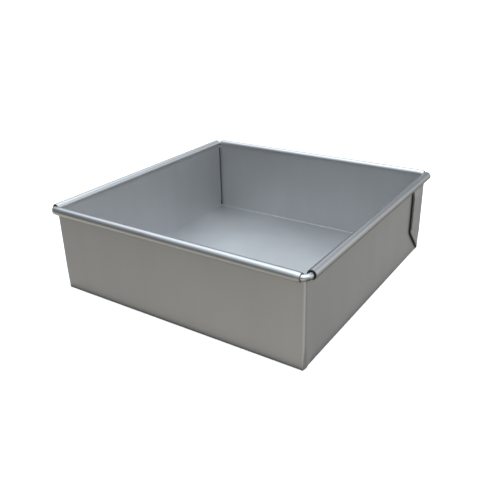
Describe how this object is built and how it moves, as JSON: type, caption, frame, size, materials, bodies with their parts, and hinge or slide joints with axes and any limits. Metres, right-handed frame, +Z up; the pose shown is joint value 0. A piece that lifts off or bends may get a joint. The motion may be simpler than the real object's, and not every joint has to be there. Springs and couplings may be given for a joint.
{
  "type": "square cake pan",
  "caption": "Square folded-corner cake pan: one satin sheet with straight walls and gussets folded flat on the side walls, its edges rolled round a bent wire rim.",
  "frame": {"origin": "centre of the base's underside", "axes": "+Z up out of the open top, the front wall faces -Y, and the side walls with the folded gussets face +X and -X"},
  "size_m": [0.2418, 0.2418, 0.0762],
  "materials": {
    "satin_sheet": "satin, slightly warm grey, fine mill grain",
    "bright_wire": "smooth bright drawn wire"
  },
  "bodies": {
    "root": {"pan_body": "satin_sheet", "rim_wire": "bright_wire"}
  },
  "joints": []
}
